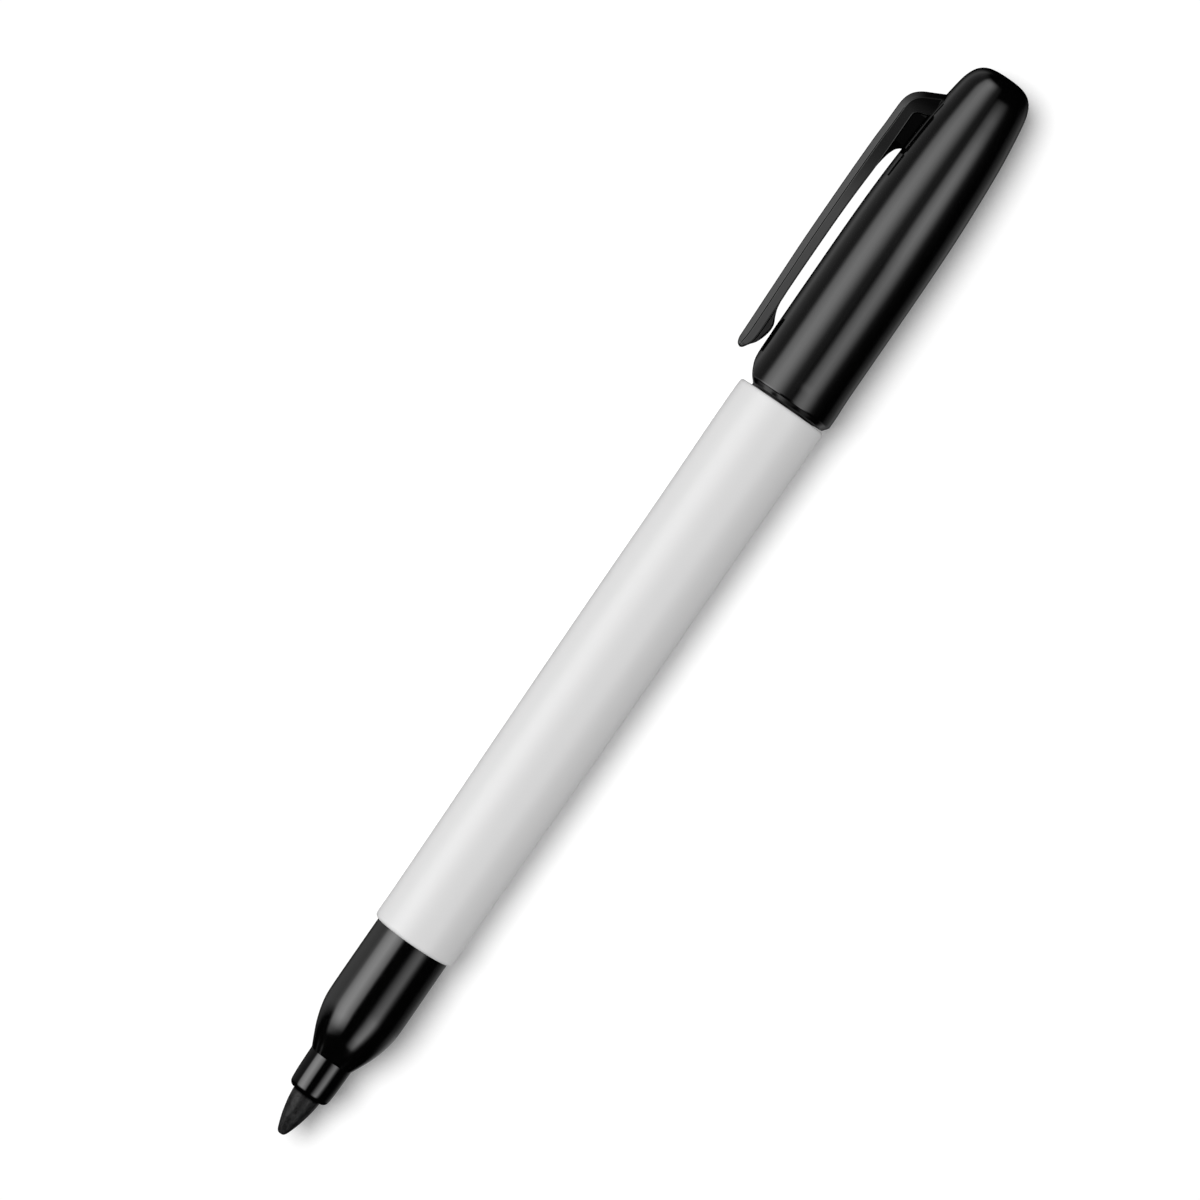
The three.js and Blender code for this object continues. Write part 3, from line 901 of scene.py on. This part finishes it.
def build_flags():
    """Black cards close to the cap, seen only as reflections: they stand for the images of the clip's pad and root."""
    verts, faces = [], []

    def box(s0, s1, y0, y1, z0, z1):
        n = len(verts)
        for s in (s0, s1):
            for y in (y0, y1):
                for z in (z0, z1):
                    verts.append(row(s, y, z))
        for f in ((0, 1, 3, 2), (4, 6, 7, 5), (0, 4, 5, 1), (2, 3, 7, 6), (0, 2, 6, 4), (1, 5, 7, 3)):
            faces.append(tuple(n + i for i in f))

    def prism(outline, z0, z1):
        """Pieces of a plate between an (s, y) outline and height 7."""
        for (s0, y0), (s1, y1) in zip(outline[:-1], outline[1:]):
            n = len(verts)
            for s, y in ((s0, y0), (s1, y1)):
                for q in (y, 7.0):
                    for z in (z0, z1):
                        verts.append(row(s, q, z))
            for f in ((0, 1, 3, 2), (4, 6, 7, 5), (0, 4, 5, 1), (2, 3, 7, 6), (0, 2, 6, 4), (1, 5, 7, 3)):
                faces.append(tuple(n + i for i in f))

    prism([(108.7, 6.98), (109.1, 6.88), (109.8, 6.6), (110.7, 6.4), (111.9, 6.4), (112.4, 6.5), (112.9, 6.72), (113.3, 6.98)], -0.4, 1.05)
    prism([(134.3, 6.99), (134.9, 6.9), (135.6, 6.83), (137.4, 6.75)], 1.0, 1.7)
    box(137.4, 138.1, 6.0, 7.0, -0.5, 1.25)
    box(138.1, 143.4, 5.6, 8.5, -0.9, 0.8)
    box(143.4, 145.1, 5.0, 6.2, -1.2, 1.2)
    return mesh_object("black_cards", verts, faces, weighted=False)


cards = build_flags()
for a in ("visible_camera", "visible_diffuse", "visible_transmission", "visible_volume_scatter", "visible_shadow"):
    setattr(cards, a, False)
cm, nt, b = material("card_black")
base = ramp(nt, noise_node(nt, coords(nt, (1, 1, 1)), 800, 2), [(0.3, 0.001), (0.7, 0.003)])
nt.links.new(base.outputs["Color"], b.inputs["Base Color"])
b.inputs["Roughness"].default_value = 1.0
b.inputs["Specular IOR Level"].default_value = 0.0
cards.data.materials.append(cm)

LEFT = [  # degrees off the vertical, light: over the cap
    (-180, 0.0), (-160, 0.0), (-152, 0.03), (-144, 0.11), (-137, 0.27), (-131, 0.46), (-126, 0.62), (-119, 0.56), (-110, 0.42), (-100, 0.33),
    (-88, 0.23), (-79, 0.26), (-74, 0.85), (-68, 2.3), (-64, 2.95), (-57, 3.6), (-47, 4.4), (-37, 4.1), (-28, 2.95), (-19, 1.5), (-12, 0.55),
    (-6, 0.25), (0, 0.2), (8, 0.0),
]
RIGHT = [
    (-8, 0.0), (0, 0.02), (9, 0.1), (14, 0.7), (18, 1.6), (27, 2.65), (36, 3.2), (46, 2.36), (52, 1.45), (56, 0.9),
    (61, 0.34), (66, 0.12), (74, 0.03), (90, 0.0), (105, 0.0), (119, 0.13), (140, 0.24), (150, 0.24), (162, 0.08), (180, 0.0),
]
LEFT_FRONT = [  # over the nib's end
    (-180, 0.0), (-167, 0.03), (-155, 0.06), (-146, 0.14), (-138, 0.29), (-131, 0.36), (-124, 0.46), (-112, 0.58),
    (-105, 0.65), (-92, 0.75), (-83, 1.2), (-74, 3.5),
    (-61, 5.4), (-48, 6.2), (-36, 4.4), (-27, 2.9), (-24.5, 2.2), (-21.5, 0.6), (-17, 0.0), (8, 0.0),
]
RIGHT_FRONT = [
    (-8, 0.0), (8, 0.0), (14, 0.12), (19, 0.6), (31, 1.75), (39, 2.2), (44, 2.15), (50, 1.2), (54, 0.57), (60, 0.1),
    (66, 0.0), (100, 0.0), (114, 0.1), (139, 0.25), (167, 0.2), (180, 0.05),
]
FAR = [  # beyond the nib's end, for faces turned to the nib
    (-180, 0.0), (-128, 0.12), (-112, 0.55), (-98, 1.55), (-75, 1.9), (-53, 2.1), (-38, 1.9), (-20, 1.1), (0, 0.4),
    (15, 0.2), (50, 0.2), (76, 0.44), (95, 0.26), (110, 0.03), (130, 0.0), (180, 0.0),
]
TOP = 7.0


def tent_material():
    m = bpy.data.materials.new("tent_light")
    m.use_nodes = True
    nt = m.node_tree
    nt.nodes.clear()
    out = nt.nodes.new("ShaderNodeOutputMaterial")
    em = nt.nodes.new("ShaderNodeEmission")
    nt.links.new(em.outputs[0], out.inputs["Surface"])
    tc = nt.nodes.new("ShaderNodeTexCoord")
    sep = nt.nodes.new("ShaderNodeSeparateXYZ")
    nt.links.new(tc.outputs["Object"], sep.inputs[0])

    def calc(op, a, b=None, c=None):
        n = nt.nodes.new("ShaderNodeMath")
        n.operation = op
        for k, v in enumerate((a, b, c)):
            if v is None:
                continue
            if isinstance(v, (int, float)):
                n.inputs[k].default_value = v
            else:
                nt.links.new(v, n.inputs[k])
        return n.outputs[0]

    def fade(v, a, b, lo, hi):
        n = nt.nodes.new("ShaderNodeMapRange")
        n.interpolation_type = "SMOOTHSTEP"
        n.inputs["From Min"].default_value = a
        n.inputs["From Max"].default_value = b
        n.inputs["To Min"].default_value = lo
        n.inputs["To Max"].default_value = hi
        nt.links.new(v, n.inputs["Value"])
        return n.outputs["Result"]

    x = sep.outputs["X"]
    y = calc("SUBTRACT", AXIS_Y / 1000, sep.outputs["Y"])
    z = calc("SUBTRACT", sep.outputs["Z"], AXIS_Z / 1000)
    around = calc("ARCTAN2", y, z)
    turn = calc("MULTIPLY_ADD", around, 1 / (2 * math.pi), 0.5)
    # the right softbox narrows towards the crown
    squeezed = calc("ADD", calc("MULTIPLY", around, fade(x, 0.07, 0.17, 1.0, 1.05)), fade(x, 0.06, 0.085, 0.0, 0.075))
    turn_right = calc("MULTIPLY_ADD", squeezed, 1 / (2 * math.pi), 0.5)

    def curve(table, turn):
        return ramp(nt, turn, [((a + 180) / 360, v / TOP) for a, v in table]).outputs["Color"]

    front = fade(x, -0.035, -0.078, 0, 1)
    rear = calc("SUBTRACT", 1.0, front)

    def blended(a, b):
        return calc("ADD", calc("MULTIPLY", a, rear), calc("MULTIPLY", b, front))

    left = blended(curve(LEFT, turn), curve(LEFT_FRONT, turn))
    right = blended(curve(RIGHT, turn_right), curve(RIGHT_FRONT, turn))
    # ends of the softboxes along the pen, and their fall-off
    aside = calc("ABSOLUTE", around)
    low = fade(aside, 1.3, 1.55, 0, 1)
    high = calc("SUBTRACT", 1.0, low)
    near = calc("MULTIPLY", low, fade(x, -0.235, -0.13, 0, 1))
    lx = calc("ADD", calc("MULTIPLY", high, fade(x, -0.385, -0.2, 0, 1)), near)
    rx = calc("ADD", calc("MULTIPLY", high, fade(x, -0.48, -0.3, 0, 1)), near)
    lx = calc("MULTIPLY", lx, fade(x, 0.66, 0.36, 0, 1))
    rx = calc("MULTIPLY", rx, fade(x, 0.285, 0.1, 0, 1))
    rx = calc("MULTIPLY", rx, fade(x, 0.06, 0.085, 1.0, 1.28))
    lg = calc("MULTIPLY", lx, fade(x, 0.05, 0.2, 1.0, 0.86))
    rg = calc("MULTIPLY", rx, fade(x, -0.112, -0.1, 1.8, 1.0))
    total = calc("ADD", calc("MULTIPLY", left, lg), calc("MULTIPLY", right, rg))
    # the far panels start nearer low on the sides
    nearer = calc("ADD", fade(aside, 1.05, 1.45, 0, 0.5), fade(aside, 1.7, 2.0, 0, 0.11))
    beyond = fade(calc("SUBTRACT", x, nearer), -0.9, -1.0, 0, 1)
    total = calc("ADD", total, calc("MULTIPLY", curve(FAR, turn), beyond))
    nt.links.new(calc("MULTIPLY", total, TOP), em.inputs["Strength"])
    try:
        m.cycles.emission_sampling = "NONE"
    except (AttributeError, TypeError):
        pass
    return m


tent.data.materials.append(tent_material())

# the floor isn't lit by the lights that shape the pen
not_floor = bpy.data.collections.new("not_floor")
not_floor.objects.link(floor)
not_floor.collection_objects[0].light_linking.link_state = "EXCLUDE"
only_floor = bpy.data.collections.new("only_floor")
only_floor.objects.link(floor)


def sun(name, towards, power, angle, receivers):
    """A soft light from a direction given as degrees to the clip's side and degrees to the crown, off the vertical."""
    d = bpy.data.lights.new(name, "SUN")
    d.energy = power * math.pi
    d.angle = math.radians(angle)
    o = bpy.data.objects.new(name, d)
    bpy.context.scene.collection.objects.link(o)
    side, fore = (math.radians(a) for a in towards)
    v = Vector((math.tan(fore), math.tan(side), 1)).normalized()
    o.rotation_mode = "QUATERNION"
    o.rotation_quaternion = v.to_track_quat("Z", "Y")
    o.location = v * 0.8
    o.visible_glossy = False
    o.light_linking.receiver_collection = receivers
    return o


key = sun("floor_key", (17, 0), 0.99, 31, only_floor)
shade = bpy.data.collections.new("shade_makers")
shade.objects.link(clip)
shade.collection_objects[0].light_linking.link_state = "EXCLUDE"
key.light_linking.blocker_collection = shade
sun("pen_dome", (0, 0), 0.2, 170, not_floor)
sun("pen_top", (7, 0), 0.6, 50, not_floor)
sun("pen_left", (60, 0), 0.19, 40, not_floor)
clip.visible_glossy = False  # the photograph shows no image of the strap in the cap

world = bpy.data.worlds.new("studio")
bpy.context.scene.world = world
world.use_nodes = True
wt = world.node_tree
wt.nodes.clear()
wo = wt.nodes.new("ShaderNodeOutputWorld")
path = wt.nodes.new("ShaderNodeLightPath")
fill = node(wt, "ShaderNodeBackground", Strength=0.0)
back = node(wt, "ShaderNodeBackground", Strength=1.0)
gloss = node(wt, "ShaderNodeBackground", Strength=0.0)
for n in (fill, back, gloss):
    n.inputs["Color"].default_value = (1, 1, 1, 1)
m1 = wt.nodes.new("ShaderNodeMixShader")
m2 = wt.nodes.new("ShaderNodeMixShader")
wt.links.new(path.outputs["Is Glossy Ray"], m1.inputs[0])
wt.links.new(fill.outputs[0], m1.inputs[1])
wt.links.new(gloss.outputs[0], m1.inputs[2])
wt.links.new(path.outputs["Is Camera Ray"], m2.inputs[0])
wt.links.new(m1.outputs[0], m2.inputs[1])
wt.links.new(back.outputs[0], m2.inputs[2])
wt.links.new(m2.outputs[0], wo.inputs["Surface"])
try:
    world.cycles.sampling_method = "NONE"
except (AttributeError, TypeError):
    pass

scene = bpy.context.scene
scene.view_settings.view_transform = "Standard"
scene.view_settings.look = "None"
scene.view_settings.exposure = 0
scene.view_settings.gamma = 1

# ---------------------------------------------------------------- camera
target = Vector((-2.086, 3.194, 6.1)) / 1000  # row frame
tilt = math.radians(1.8)
away = Vector((math.sin(tilt), 0, math.cos(tilt)))
right = Vector((0.56787, -0.82313, 0))
right = (right - away * right.dot(away)).normalized()
up = away.cross(right)
cd = bpy.data.cameras.new("camera")
cam = bpy.data.objects.new("camera", cd)
scene.collection.objects.link(cam)
cd.sensor_width = 36
cd.lens = 167
cd.clip_start = 0.01
cd.clip_end = 20
cd.dof.use_dof = False
cam.matrix_world = Matrix.Translation(target + away * 0.659) @ Matrix((right, up, away)).transposed().to_4x4()
scene.camera = cam
